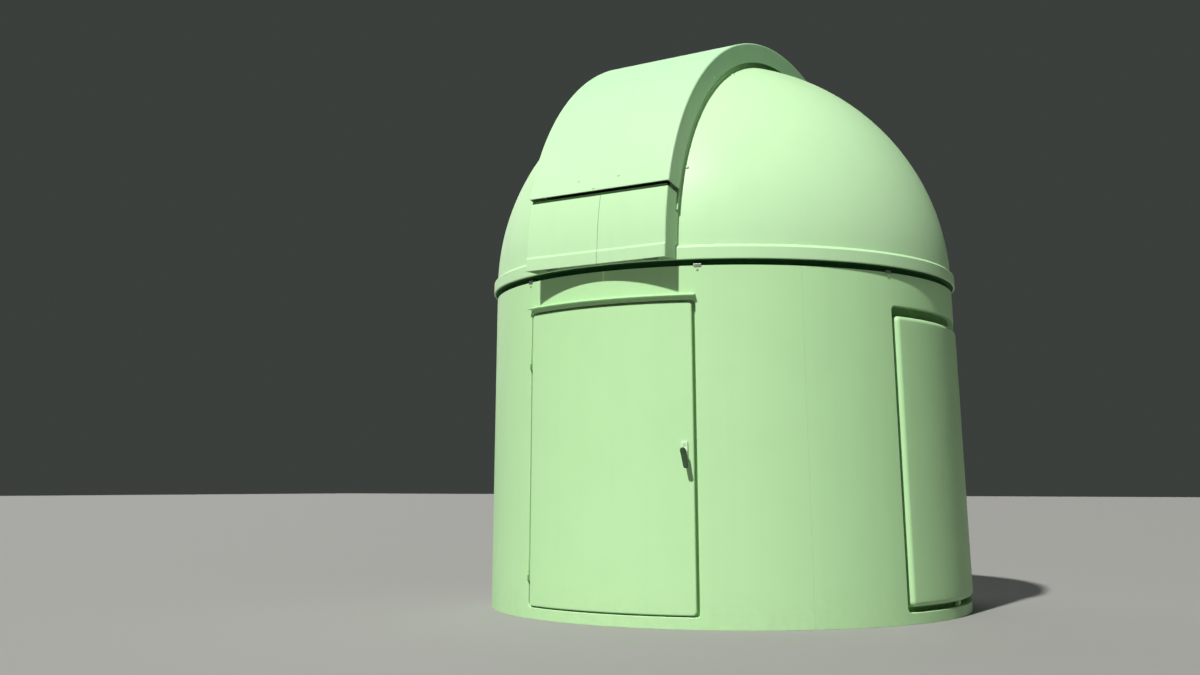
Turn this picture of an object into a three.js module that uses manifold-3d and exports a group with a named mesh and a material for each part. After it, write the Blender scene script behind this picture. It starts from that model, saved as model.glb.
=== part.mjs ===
// Walk-in observatory dome of glass-fibre mouldings: four bolted wall quadrants with a hinged door and three blank
// bay panels, a rotating hemispherical dome with a slot, a main shutter that slides up and over, and a lower flap.
// Millimetres, +Z up. The origin is on the wall's axis at ground level, and the door faces -Y.
import * as THREE from "three";
import { mergeVertices } from "three/addons/utils/BufferGeometryUtils.js";
import Module from "manifold-3d";

const wasm = await Module();
wasm.setup();

// Facets: degrees of turn and of rise per facet. Gaps: where two pieces touch, and where one slides on another.
const TURN_STEP = 3;
const RISE_STEP = 3.75;
const SEAT = 0.3;
const RUNNING_GAP = 0.7;

// Beyond every piece, for solids that only cut.
const FAR = 1400;
const CUT_DEPTH = 200;

// Wall: skin, level flanges at its foot and top, and upright fins that bolt the quadrants together. The insets keep
// the surfaces of joined solids apart.
const WALL_R = 1100;
const SKIN = 6;
const WALL_TOP = 1416.7;
const FLANGE = 60;
const FLANGE_T = 8;
const FIN = 48;
const FIN_DEG = 0.33;
const FIN_INSET = 0.02;
const SEAM_DEG = 0.008;
const INSET = 1;

// Bays: half widths in degrees of the wall's arc, heights, and the stop that backs the door or panel.
const BAY_HALF = 21.96;
const BAY_FOOT = 45;
const BAY_HEAD = 1277;
const BAY_CORNER = 22;
const CASING_R = 1064;
const CASING_DEG = 0.33;
const RIM_DEG = 0.2;
const RIM_LAP = 4;
const STOP_HALF = 20.2;
const STOP_R = 1065.5;
const STOP_T = 6;
const DOOR_STOP = [72, 1250];
const BLANK_STOP = [82, 1222];
const SPLIT_HALF = 18.9;
const SPLIT_Z = 700;

// Door leaf and blank panel: trays with turned-in edges. The leaf is set towards its hinges, so that the gap on the
// side of the lock is the wider one.
const LEAF_HALF = 21.33;
const LEAF_TURN = -0.21;
const LEAF_FOOT = 50.2;
const LEAF_HEAD = 1269;
const LEAF_T = 23.2;
const LEAF_ROUND = 5;
const LEAF_CORNER = 16;
const PANEL_HALF = 20.66;
const PANEL_FOOT = 66;
const PANEL_HEAD = 1236;
const PANEL_PROUD = 5;
const PANEL_ROUND = 20;
const TRAY_SKIN = 8;
const TRAY_EDGE = 14;

// Drip strip over the door.
const DRIP_FOOT = 1290;
const DRIP_HEIGHT = 15;
const DRIP_OUT = 24;

// Door hinges, lock plate and turning handle.
const HINGE_DEG = -21.75;
const HINGE_R = 1104;
const HINGE_FEET = { upper: 1030, lower: 150 };
const HINGE_HEIGHT = 90;
const HINGE_BARREL = 4;
const HINGE_STRAP = 26;
const HINGE_STRAP_T = 2;
const HINGE_NECK = 7;
const HINGE_NECK_T = 1.4;
const HINGE_OFFSET = 2.7;
const HANDLE_DEG = 19.15;
const HANDLE_Z = 672;
const LOCK_WIDTH = 28;
const LOCK_T = 8;
const LOCK_SEAT = 3;
const LOCK_BELOW = 24;
const LOCK_ABOVE = 40;
const HUB_R = 9;
const GRIP_WIDTH = 17;
const GRIP_IN = 32;
const GRIP_OUT = 44;
const GRIP_BELOW = 68;
const GRIP_TILT = 10;

// Dome: the sphere's centre is level with the middle of the ring that carries it.
const DOME_Z = 1489;
const DOME_R = 1100;
const RING_FOOT = 1440.6;
const RING_BEAD = 1492;
const RING_TOP = 1505;
const RING_R = 1117;
const RING_T = 8;
const RING_INNER = 1040;
const BEARING_IN = 1046;
const BEARING_OUT = 1084;

// Slot and its rails: half widths, radii about the dome's centre, and degrees from the front horizon.
const SLOT_HALF = 315;
const SLOT_START = 2.6;
const SLOT_END = 103;
const RAIL_HALF = 354;
const RAIL_WEB = 348;
const RAIL_TOP = 1068;
const LIP_TOP = 1090;
const RAIL_START = 8.8;
const RAIL_END = 172;

// Main shutter, swept about the level axis through the dome's centre; its sides ride on the rails.
const COVER_R = 1163;
const COVER_HALF = 356;
const COVER_ROUND = 14;
const COVER_START = 13.8;
const COVER_END = 108.5;
const SIDE_FOOT_R = RAIL_TOP + RUNNING_GAP;
const END_PLATE_R = 1126;
const END_LIP = 15;

// Lower flap, flat across its width, hinged at its foot.
const FLAP_R = 1153;
const FLAP_HALF = 350;
const FLAP_BAND = 1158;
const FLAP_START = 0.8;
const FLAP_END = 12.75;
const FLAP_CLEAR = 7.3;
const FLAP_FOOT_R = RAIL_TOP + 6;
const FLAP_STEP_DEG = 8.4;
const FLAP_BACK = [1620, 1590, 1560, 1530, 1512];
const FLAP_HINGE_S = 1130;
const FLAP_HINGE_Z = 1453;
const FLAP_HINGE_BARREL = 6;
const FLAP_HINGE_AT = [-250, 250];
const FLAP_ARM_HALF = 14;
const FLAP_EAR_HALF = 26;

const rad = THREE.MathUtils.degToRad;
const deg = THREE.MathUtils.radToDeg;

// A point at radius r on a bearing in degrees, counted from the door towards +X.
const polar = (r, bearing, z) => [r * Math.sin(rad(bearing)), -r * Math.cos(rad(bearing)), z];

// Distance forward and height of a point at radius r about the dome's centre, counted from the front horizon.
const arcPoint = (r, rise) => [r * Math.cos(rad(rise)), DOME_Z + r * Math.sin(rad(rise))];

// Values from one end to the other with every multiple of the step between them.
function stops(from, to, step = TURN_STEP) {
  const list = [from];
  for (let k = Math.floor(from / step) + 1; k * step < to - 0.01; k += 1) {
    if (k * step > from + 0.01) {
      list.push(k * step);
    }
  }
  list.push(to);
  return list;
}

// A closed solid from a geometry, facing outward.
function solid(geometry) {
  const bare = new THREE.BufferGeometry();
  bare.setAttribute("position", geometry.getAttribute("position").clone());
  if (geometry.index) {
    bare.setIndex(geometry.index.clone());
  }
  const merged = mergeVertices(bare, 1e-3);
  const build = (triangles) =>
    new wasm.Manifold(
      new wasm.Mesh({
        numProp: 3,
        vertProperties: new Float32Array(merged.attributes.position.array),
        triVerts: triangles,
      }),
    );
  const triangles = new Uint32Array(merged.index.array);
  const made = build(triangles);
  if (made.volume() > 0) {
    return made;
  }
  return build(triangles.map((_, i, all) => all[i - (i % 3) + 2 - (i % 3)]));
}

// One closed outline carried through a row of places, with flat ends or joined round to its start.
function loft(outline, places, round = false) {
  const points = outline.map(([a, b]) => new THREE.Vector2(a, b));
  if (THREE.ShapeUtils.isClockWise(points)) {
    points.reverse();
  }
  const n = points.length;
  const position = places.flatMap((place) => points.flatMap((p) => place(p.x, p.y)));
  const index = [];
  const spans = round ? places.length : places.length - 1;
  for (let i = 0; i < spans; i += 1) {
    const near = i * n;
    const far = ((i + 1) % places.length) * n;
    for (let j = 0; j < n; j += 1) {
      const k = (j + 1) % n;
      index.push(near + j, near + k, far + k, near + j, far + k, far + j);
    }
  }
  if (!round) {
    const end = (places.length - 1) * n;
    for (const [a, b, c] of THREE.ShapeUtils.triangulateShape(points, [])) {
      index.push(c, b, a, end + a, end + b, end + c);
    }
  }
  const geometry = new THREE.BufferGeometry();
  geometry.setAttribute("position", new THREE.Float32BufferAttribute(position, 3));
  geometry.setIndex(index);
  return solid(geometry);
}

// A profile of radius and height turned about the wall's axis, over part of the way or all the way round.
const turned = (profile, from, to) =>
  loft(profile, stops(from, to).map((bearing) => (r, z) => polar(r, bearing, z)));

function turnedRing(profile, step = TURN_STEP) {
  const places = stops(0, 360 - step, step).map((bearing) => (r, z) => polar(r, bearing, z));
  return loft(profile, places, true);
}

const rectangle = (a0, a1, b0, b1) => [[a0, b0], [a1, b0], [a1, b1], [a0, b1]];
const slab = (r0, r1, from, to, z0, z1) => turned(rectangle(r0, r1, z0, z1), from, to);

// A profile of width and radius swept about the level axis through the dome's centre.
function swept(profile, from, to) {
  const places = stops(from, to).map((rise) => (u, r) => {
    const [s, z] = arcPoint(r, rise);
    return [u, -s, z];
  });
  return loft(profile, places);
}

// A side view, of distance forward and height, drawn out across the width.
const acrossWidth = (outline, u0, u1) => loft(outline, [u0, u1].map((u) => (s, z) => [u, -s, z]));

function box(x0, x1, y0, y1, z0, z1) {
  const geometry = new THREE.BoxGeometry(x1 - x0, y1 - y0, z1 - z0);
  geometry.translate((x0 + x1) / 2, (y0 + y1) / 2, (z0 + z1) / 2);
  return solid(geometry);
}

function cylinderBetween(a, b, radius, sides = 24) {
  const from = new THREE.Vector3(...a);
  const to = new THREE.Vector3(...b);
  const geometry = new THREE.CylinderGeometry(radius, radius, from.distanceTo(to), sides);
  const along = to.clone().sub(from).normalize();
  geometry.applyQuaternion(new THREE.Quaternion().setFromUnitVectors(new THREE.Vector3(0, 1, 0), along));
  geometry.translate(...from.add(to).multiplyScalar(0.5).toArray());
  return solid(geometry);
}

// A rounded opening in the wall's arc, drawn through it along the radius.
function bayCutter(half, foot, head, corner) {
  const width = rad(half) * WALL_R;
  const corners = [
    [width - corner, head - corner, 0],
    [-width + corner, head - corner, 90],
    [-width + corner, foot + corner, 180],
    [width - corner, foot + corner, 270],
  ];
  const outline = corners.flatMap(([a, z, start]) =>
    stops(0, 90, 22.5).map((turn) => [
      a + corner * Math.cos(rad(start + turn)),
      z + corner * Math.sin(rad(start + turn)),
    ]),
  );
  const fine = [];
  outline.forEach(([a, z], i) => {
    const [b, w] = outline[(i + 1) % outline.length];
    const pieces = Math.ceil(Math.abs(b - a) / (rad(TURN_STEP) * WALL_R)) || 1;
    for (let k = 0; k < pieces; k += 1) {
      fine.push([a + ((b - a) * k) / pieces, z + ((w - z) * k) / pieces]);
    }
  });
  return loft(
    fine,
    [WALL_R - CUT_DEPTH, WALL_R + CUT_DEPTH].map((r) => (a, z) => polar(r, deg(a / WALL_R), z)),
  );
}

// A curved panel whose outer edges are rounded over, in the wall's arc. The marks say how far in from the edge, as
// shares of the rounding, its facets break.
function roundedPanel(half, foot, head, inner, outer, round, marks) {
  const edgeDeg = (share) => deg((share * round) / WALL_R);
  const middle = stops(-half + edgeDeg(1), half - edgeDeg(1)).slice(1, -1);
  const turns = [
    ...marks.map((share) => -half + edgeDeg(share)),
    ...middle,
    ...marks.map((share) => half - edgeDeg(share)).reverse(),
  ];
  const heights = [
    ...marks.map((share) => foot + share * round),
    ...marks.map((share) => head - share * round).reverse(),
  ];
  const drop = (bearing, z) => {
    const sideways = Math.max(0, round - rad(half - Math.abs(bearing)) * WALL_R);
    const upright = Math.max(0, round - Math.min(z - foot, head - z));
    return round - Math.sqrt(Math.max(0, round * round - sideways * sideways - upright * upright));
  };
  const rows = heights.length;
  const position = [];
  for (const face of [(bearing, z) => outer - drop(bearing, z), () => inner]) {
    for (const bearing of turns) {
      for (const z of heights) {
        position.push(...polar(face(bearing, z), bearing, z));
      }
    }
  }
  const index = [];
  const back = turns.length * rows;
  const quad = (a, b, c, d) => index.push(a, b, c, a, c, d);
  for (let i = 0; i + 1 < turns.length; i += 1) {
    for (let j = 0; j + 1 < rows; j += 1) {
      const a = i * rows + j;
      quad(a, a + rows, a + rows + 1, a + 1);
      quad(back + a, back + a + 1, back + a + rows + 1, back + a + rows);
    }
    const low = i * rows;
    const high = low + rows - 1;
    quad(low, back + low, back + low + rows, low + rows);
    quad(high, high + rows, back + high + rows, back + high);
  }
  for (let j = 0; j + 1 < rows; j += 1) {
    const last = (turns.length - 1) * rows + j;
    quad(j, j + 1, back + j + 1, back + j);
    quad(last, back + last, back + last + 1, last + 1);
  }
  const geometry = new THREE.BufferGeometry();
  geometry.setAttribute("position", new THREE.Float32BufferAttribute(position, 3));
  geometry.setIndex(index);
  return solid(geometry);
}

// A hollow from behind that leaves a panel's face and its turned-in edges.
function trayHollow(half, foot, head, outer) {
  const side = half - deg(TRAY_EDGE / WALL_R);
  return slab(WALL_R - CUT_DEPTH, outer - TRAY_SKIN, -side, side, foot + TRAY_EDGE, head - TRAY_EDGE);
}

// A box that stands out along the radius at the handle, between two heights from its hub, turned about the hub.
function radialBox(r0, r1, width, z0, z1, tilt = 0) {
  const geometry = new THREE.BoxGeometry(width, r1 - r0, z1 - z0);
  geometry.translate(0, -(r0 + r1) / 2, (z0 + z1) / 2);
  geometry.rotateY(rad(-tilt));
  geometry.translate(0, 0, HANDLE_Z);
  geometry.rotateZ(rad(HANDLE_DEG));
  return solid(geometry);
}

const LOOKS = {
  gelcoat: { color: 0x9fca8f, roughness: 0.42, metalness: 0 },
  shutter: { color: 0xa4cf94, roughness: 0.4, metalness: 0 },
  steel: { color: 0xb9bdb8, roughness: 0.3, metalness: 0.9 },
  dark: { color: 0x1d211d, roughness: 0.6, metalness: 0 },
};

const part = new THREE.Group();
part.name = "observatory_dome";

// Adds a solid as a named mesh, turned from the door's bearing to its own.
function place(name, shape, look = "gelcoat", bearing = 0) {
  const { vertProperties, triVerts } = shape.getMesh();
  const geometry = new THREE.BufferGeometry();
  geometry.setAttribute("position", new THREE.BufferAttribute(new Float32Array(vertProperties), 3));
  geometry.setIndex(new THREE.BufferAttribute(new Uint32Array(triVerts), 1));
  geometry.computeVertexNormals();
  const mesh = new THREE.Mesh(geometry, new THREE.MeshStandardMaterial(LOOKS[look]));
  mesh.name = name;
  mesh.rotation.z = rad(bearing);
  part.add(mesh);
}

// Wall quadrant with its flanges and a bay whose stop runs from one height to another, centred on the door's bearing.
function wallQuadrant([stopFoot, stopHead]) {
  const edge = 45 - SEAM_DEG;
  const inner = WALL_R - FLANGE;
  const skin = WALL_R - SKIN;
  const channel = [
    [inner, 0],
    [WALL_R, 0],
    [WALL_R, WALL_TOP],
    [inner, WALL_TOP],
    [inner, WALL_TOP - FLANGE_T],
    [skin, WALL_TOP - FLANGE_T],
    [skin, FLANGE_T],
    [inner, FLANGE_T],
  ];
  const fin = (from, to) => slab(WALL_R - FIN, WALL_R - INSET, from, to, INSET, WALL_TOP - INSET);
  const casingHalf = BAY_HALF + CASING_DEG;
  const casing = slab(CASING_R, WALL_R - INSET, -casingHalf, casingHalf, BAY_FOOT - SKIN, BAY_HEAD + SKIN);
  const rimHalf = BAY_HALF + RIM_DEG;
  const rim = slab(STOP_R, STOP_R + STOP_T, -rimHalf, rimHalf, BAY_FOOT - RIM_LAP, BAY_HEAD + RIM_LAP);
  return turned(channel, -edge, edge)
    .add(fin(-edge + FIN_INSET, -edge + FIN_DEG))
    .add(fin(edge - FIN_DEG, edge - FIN_INSET))
    .add(casing)
    .subtract(bayCutter(BAY_HALF, BAY_FOOT, BAY_HEAD, BAY_CORNER))
    .add(rim.subtract(bayCutter(STOP_HALF, stopFoot, stopHead, BAY_CORNER)));
}

// The door's quadrant, split beside and over the doorway.
function placeFrontWall() {
  const quadrant = wallQuadrant(DOOR_STOP);
  const gap = deg(SEAT / WALL_R) / 2;
  const between = (from, to) => slab(WALL_R - CUT_DEPTH, WALL_R + CUT_DEPTH, from, to, -10, WALL_TOP + 10);
  const middle = quadrant.intersect(between(-SPLIT_HALF + gap, SPLIT_HALF - gap));
  place("front_wall_left", quadrant.intersect(between(-46, -SPLIT_HALF - gap)));
  place("front_wall_right", quadrant.intersect(between(SPLIT_HALF + gap, 46)));
  place("front_wall_head", middle.intersect(box(-FAR, FAR, -FAR, 0, SPLIT_Z, 2 * FAR)));
  place("front_wall_sill", middle.intersect(box(-FAR, FAR, -FAR, 0, -10, SPLIT_Z)));
}

// The three other quadrants and the blank panels that close their bays.
function placeBlankWalls() {
  const quadrant = wallQuadrant(BLANK_STOP);
  const inner = STOP_R + STOP_T + SEAT;
  const outer = WALL_R + PANEL_PROUD;
  const marks = [0, 0.08, 0.36, 1];
  const panel = roundedPanel(PANEL_HALF, PANEL_FOOT, PANEL_HEAD, inner, outer, PANEL_ROUND, marks).subtract(
    trayHollow(PANEL_HALF, PANEL_FOOT, PANEL_HEAD, outer),
  );
  for (const [side, bearing] of [["right", 90], ["rear", 180], ["left", 270]]) {
    place(side + "_wall", quadrant, "gelcoat", bearing);
    place(side + "_blank_panel", panel, "gelcoat", bearing);
  }
}

// Strip over the door that throws the rain off, with its outer edges taken off.
function placeDripStrip() {
  const inner = WALL_R + SEAT;
  const outer = WALL_R + DRIP_OUT;
  const profile = [
    [inner, DRIP_FOOT],
    [outer - 2, DRIP_FOOT],
    [outer, DRIP_FOOT + 2],
    [outer, DRIP_FOOT + 8],
    [outer - 3, DRIP_FOOT + 11],
    [inner, DRIP_FOOT + DRIP_HEIGHT],
  ];
  place("door_drip_strip", turned(profile, -BAY_HALF, BAY_HALF));
}

// Door leaf, curved like the wall.
function placeDoorLeaf() {
  const body = roundedPanel(LEAF_HALF, LEAF_FOOT, LEAF_HEAD, WALL_R - LEAF_T, WALL_R, LEAF_ROUND, [0, 0.3, 1]);
  const outline = bayCutter(LEAF_HALF, LEAF_FOOT, LEAF_HEAD, LEAF_CORNER);
  const leaf = body.intersect(outline).subtract(trayHollow(LEAF_HALF, LEAF_FOOT, LEAF_HEAD, WALL_R));
  place("door_leaf", leaf.rotate([0, 0, LEAF_TURN]));
}

// One door hinge: a barrel in two lengths, with a strap on the jamb and one on the leaf's edge.
function placeDoorHinge(which, foot) {
  const [x, y] = polar(HINGE_R, HINGE_DEG, 0);
  const head = foot + HINGE_HEIGHT;
  const middle = foot + HINGE_HEIGHT / 2;
  const plate = (side, thick, y0, y1, z0, z1) => {
    const geometry = new THREE.BoxGeometry(thick, y1 - y0, z1 - z0);
    geometry.translate(side * HINGE_OFFSET, (y0 + y1) / 2, (z0 + z1) / 2);
    geometry.rotateZ(rad(HINGE_DEG));
    geometry.translate(x, y, 0);
    return solid(geometry);
  };
  const leaf = (side, z0, z1) =>
    plate(side, HINGE_STRAP_T, HINGE_BARREL + SEAT, HINGE_STRAP, foot, head)
      .add(plate(side, HINGE_NECK_T, INSET, HINGE_NECK, z0 + INSET, z1 - INSET))
      .add(cylinderBetween([x, y, z0], [x, y, z1], HINGE_BARREL, 16));
  place("door_hinge_" + which + "_jamb", leaf(-1, foot, middle - SEAT / 2), "steel");
  place("door_hinge_" + which + "_leaf", leaf(1, middle + SEAT / 2, head), "steel");
}

// Lock plate with a seat for the handle's hub, and the handle, whose grip hangs down a little aslant.
function placeHandle() {
  const hub = (r0, r1, radius) =>
    cylinderBetween(polar(r0, HANDLE_DEG, HANDLE_Z), polar(r1, HANDLE_DEG, HANDLE_Z), radius);
  const face = WALL_R + LOCK_T;
  const seat = WALL_R + LOCK_SEAT;
  const plate = radialBox(WALL_R + 0.1, face, LOCK_WIDTH, -LOCK_BELOW, LOCK_ABOVE);
  place("door_lock_plate", plate.subtract(hub(seat, face + 12, HUB_R + SEAT)), "steel");
  const grip = radialBox(WALL_R + GRIP_IN, WALL_R + GRIP_OUT, GRIP_WIDTH, -GRIP_BELOW, HUB_R, GRIP_TILT);
  place("door_handle", hub(seat + SEAT, WALL_R + GRIP_OUT - 4, HUB_R).add(grip), "dark");
}

// Dark strip that the dome's ring turns on, set back in the gap over the wall.
function placeBearing() {
  const strip = rectangle(BEARING_IN, BEARING_OUT, WALL_TOP + SEAT, RING_FOOT - SEAT);
  place("bearing_ring", turnedRing(strip, 2 * TURN_STEP), "dark");
}

// Dome ring: the skirt that overhangs the gap, its bead, and the inner flange that rides on the strip.
function placeDomeRing() {
  const profile = [
    [RING_INNER, RING_FOOT],
    [RING_R, RING_FOOT],
    [RING_R, RING_BEAD],
    [DOME_R + 1, RING_TOP],
    [DOME_R - SKIN, RING_TOP],
    [RING_R - RING_T, RING_BEAD - 10],
    [RING_R - RING_T, RING_FOOT + RING_T],
    [RING_INNER, RING_FOOT + RING_T],
  ];
  place("dome_base_ring", turnedRing(profile));
}

// A ball about the dome's centre, standing on its poles.
function ball(radius, around, up) {
  const profile = stops(-90, 90, up).map((rise) => {
    const [across, height] = arcPoint(radius, rise);
    return new THREE.Vector2(Math.abs(rise) === 90 ? 0 : across, height);
  });
  return solid(new THREE.LatheGeometry(profile, around).rotateX(Math.PI / 2));
}

// Dome shell with the slot, in a right, a left and a rear moulding and the sill under the slot.
function placeDomeShell() {
  const shell = ball(DOME_R, 360 / TURN_STEP, RISE_STEP)
    .subtract(ball(DOME_R - SKIN, 48, 2 * RISE_STEP))
    .intersect(box(-FAR, FAR, -FAR, FAR, RING_TOP + SEAT, 2 * FAR));
  const slice = (x0, x1, y0 = -FAR, y1 = FAR) => shell.intersect(box(x0, x1, y0, y1, 0, 2 * FAR));
  place("dome_shell_right", slice(SLOT_HALF, FAR));
  place("dome_shell_left", slice(-FAR, -SLOT_HALF));
  const inset = SLOT_HALF - SEAT;
  const slot = swept(
    rectangle(-SLOT_HALF - 10, SLOT_HALF + 10, DOME_R - CUT_DEPTH, DOME_R + CUT_DEPTH),
    SLOT_START,
    SLOT_END,
  );
  place("dome_front_sill", slice(-inset, inset, -FAR, 0).subtract(slot));
  place("dome_shell_rear", slice(-inset, inset, 0, FAR).subtract(slot));
}

// Raised rails beside the slot, carried on down the back for the main shutter: a web with a flange that the shutter
// rides on, and a lip along the slot.
function placeSlotRails() {
  const footAt = (half) => Math.sqrt(DOME_R ** 2 - half ** 2) + RUNNING_GAP;
  const middle = (SLOT_HALF + RAIL_WEB) / 2;
  for (const [side, name] of [[1, "right"], [-1, "left"]]) {
    const rail = [
      [SLOT_HALF, footAt(SLOT_HALF)],
      [middle, footAt(middle)],
      [RAIL_WEB, footAt(RAIL_WEB)],
      [RAIL_WEB, RAIL_TOP - SKIN],
      [RAIL_HALF, RAIL_TOP - SKIN],
      [RAIL_HALF, RAIL_TOP],
      [SLOT_HALF + SKIN, RAIL_TOP],
      [SLOT_HALF + SKIN, LIP_TOP],
      [SLOT_HALF, LIP_TOP],
    ].map(([u, r]) => [side * u, r]);
    place("slot_rail_" + name, swept(rail, RAIL_START, RAIL_END));
  }
}

// Main shutter: a cover flat across its width, with an end plate and raised lip at the rear, and two sides.
function placeMainShutter() {
  const shoulder = (half, radius, round, sign) =>
    stops(0, 90, 22.5).map((turn) => [
      sign * (half - round + round * Math.cos(rad(turn))),
      radius - round + round * Math.sin(rad(turn)),
    ]);
  const [half, radius, round] = [COVER_HALF - SKIN, COVER_R - SKIN, COVER_ROUND - SKIN];
  const profile = [
    ...shoulder(COVER_HALF, COVER_R, COVER_ROUND, 1),
    ...shoulder(COVER_HALF, COVER_R, COVER_ROUND, -1).reverse(),
    ...shoulder(half, radius, round, -1),
    ...shoulder(half, radius, round, 1).reverse(),
  ];
  const bar = (halfWidth, r0, r1, from, to) => swept(rectangle(-halfWidth, halfWidth, r0, r1), from, to);
  const lipHalf = COVER_HALF - COVER_ROUND - 2;
  const cover = swept(profile, COVER_START, COVER_END)
    .add(bar(half - 0.6, END_PLATE_R, COVER_R - 4, COVER_END - 0.4, COVER_END - 0.04))
    .add(bar(lipHalf, COVER_R - 3, COVER_R + END_LIP, COVER_END - 0.5, COVER_END - 0.02));
  place("main_shutter_cover", cover, "shutter");
  const sideTop = COVER_R - COVER_ROUND - SEAT;
  for (const [side, name] of [[1, "right"], [-1, "left"]]) {
    const flat = rectangle(side * half, side * COVER_HALF, SIDE_FOOT_R, sideTop);
    place("main_shutter_side_" + name, swept(flat, COVER_START, COVER_END), "shutter");
  }
}

// A hinge knuckle of the flap, across part of the width.
const flapKnuckle = (u0, u1) =>
  cylinderBetween([u0, -FLAP_HINGE_S, FLAP_HINGE_Z], [u1, -FLAP_HINGE_S, FLAP_HINGE_Z], FLAP_HINGE_BARREL, 20);

// Lower flap: the face repeats the ring's bead and skirt, and its sides reach back to the dome.
function placeLowerFlap() {
  const rises = stops(FLAP_START, FLAP_END, 2);
  const faceOutline = [
    [FLAP_BAND, RING_FOOT],
    [FLAP_BAND, RING_BEAD],
    [FLAP_BAND - 2, RING_BEAD + 5],
    ...rises.map((rise) => arcPoint(FLAP_R, rise)),
    ...rises.map((rise) => arcPoint(FLAP_R - SKIN, rise)).reverse(),
    [FLAP_BAND - SKIN, RING_BEAD - 2],
    [FLAP_BAND - SKIN, RING_FOOT],
  ];
  const arm = [
    [FLAP_BAND - 3, FLAP_HINGE_Z - 6],
    [FLAP_BAND - 3, FLAP_HINGE_Z + 6],
    [FLAP_HINGE_S, FLAP_HINGE_Z + 4],
    [FLAP_HINGE_S, FLAP_HINGE_Z - 4],
  ];
  const face = FLAP_HINGE_AT.reduce(
    (whole, u) =>
      whole
        .add(acrossWidth(arm, u - FLAP_ARM_HALF, u + FLAP_ARM_HALF))
        .add(flapKnuckle(u - FLAP_ARM_HALF, u + FLAP_ARM_HALF)),
    acrossWidth(faceOutline, -FLAP_HALF, FLAP_HALF),
  );
  place("lower_flap_face", face, "shutter");

  const middle = FLAP_HALF - SKIN / 2;
  const ringAt = Math.sqrt(RING_R ** 2 - middle ** 2) + FLAP_CLEAR;
  const domeAt = (z) => Math.sqrt(DOME_R ** 2 - (middle - SKIN) ** 2 - (z - DOME_Z) ** 2) + FLAP_CLEAR;
  const stepZ = arcPoint(FLAP_FOOT_R, FLAP_STEP_DEG)[1];
  const sideOutline = [
    [FLAP_BAND - SKIN - SEAT, RING_FOOT],
    [FLAP_BAND - SKIN - SEAT, RING_BEAD - 2.5],
    ...rises.map((rise) => arcPoint(FLAP_R - SKIN - SEAT, rise)),
    ...stops(FLAP_STEP_DEG, FLAP_END, 2).reverse().map((rise) => arcPoint(FLAP_FOOT_R, rise)),
    ...[stepZ, ...FLAP_BACK].map((z) => [domeAt(z), z]),
    [ringAt, RING_TOP - 1],
    [ringAt, RING_FOOT],
  ];
  place("lower_flap_side_right", acrossWidth(sideOutline, FLAP_HALF - SKIN, FLAP_HALF), "shutter");
  place("lower_flap_side_left", acrossWidth(sideOutline, -FLAP_HALF, -FLAP_HALF + SKIN), "shutter");
}

// Brackets on the dome ring, each with an ear on either side of the flap's arm.
function placeFlapHinges() {
  const ringSolid = turnedRing(
    rectangle(RING_INNER - CUT_DEPTH, RING_R + SEAT, RING_FOOT - CUT_DEPTH, RING_TOP + CUT_DEPTH),
  );
  const root = RING_R - 60;
  const earOutline = [
    [root, FLAP_HINGE_Z + 9],
    [FLAP_HINGE_S, FLAP_HINGE_Z + 6],
    [FLAP_HINGE_S, FLAP_HINGE_Z - 6],
    [root, FLAP_HINGE_Z - 9],
  ];
  const backOutline = [
    [root, FLAP_HINGE_Z + 9],
    [RING_R - 3, FLAP_HINGE_Z + 7],
    [RING_R - 3, FLAP_HINGE_Z - 7],
    [root, FLAP_HINGE_Z - 9],
  ];
  const ear = (u0, u1) => acrossWidth(earOutline, u0, u1).add(flapKnuckle(u0, u1));
  for (const u of FLAP_HINGE_AT) {
    const bracket = acrossWidth(backOutline, u - FLAP_EAR_HALF, u + FLAP_EAR_HALF)
      .add(ear(u - FLAP_EAR_HALF, u - FLAP_ARM_HALF - SEAT))
      .add(ear(u + FLAP_ARM_HALF + SEAT, u + FLAP_EAR_HALF))
      .subtract(ringSolid);
    place("flap_hinge_" + (u > 0 ? "right" : "left"), bracket, "steel");
  }
}

placeFrontWall();
placeBlankWalls();
placeDripStrip();
placeDoorLeaf();
for (const [which, foot] of Object.entries(HINGE_FEET)) {
  placeDoorHinge(which, foot);
}
placeHandle();
placeBearing();
placeDomeRing();
placeDomeShell();
placeSlotRails();
placeMainShutter();
placeLowerFlap();
placeFlapHinges();

export default part;
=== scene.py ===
# Looks of a walk-in observatory dome: smooth glass-fibre mouldings with their fillets, seams and fittings,
# in place of the plain solids. Metres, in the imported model's frame: +Z up, and the door faces -Y. Shapes
# are drawn in millimetres, and angles are in degrees where nothing else is said.
import math

import bmesh
import bpy
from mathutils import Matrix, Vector


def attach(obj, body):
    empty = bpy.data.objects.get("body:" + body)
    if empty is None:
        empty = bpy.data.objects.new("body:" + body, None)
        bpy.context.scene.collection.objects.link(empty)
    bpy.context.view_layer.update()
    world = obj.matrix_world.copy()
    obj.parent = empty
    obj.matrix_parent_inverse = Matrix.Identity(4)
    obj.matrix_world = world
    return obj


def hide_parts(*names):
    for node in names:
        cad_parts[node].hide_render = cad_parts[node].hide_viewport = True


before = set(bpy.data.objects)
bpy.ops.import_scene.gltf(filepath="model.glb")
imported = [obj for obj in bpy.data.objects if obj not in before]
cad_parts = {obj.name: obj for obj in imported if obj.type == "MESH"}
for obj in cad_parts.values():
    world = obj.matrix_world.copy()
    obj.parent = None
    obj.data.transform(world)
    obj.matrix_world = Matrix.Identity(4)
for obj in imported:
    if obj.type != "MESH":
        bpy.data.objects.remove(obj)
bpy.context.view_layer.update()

MM = 0.001
SKIN = 6
SHARP_ANGLE = 35
SIDES = ((1, "right"), (-1, "left"))

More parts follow.
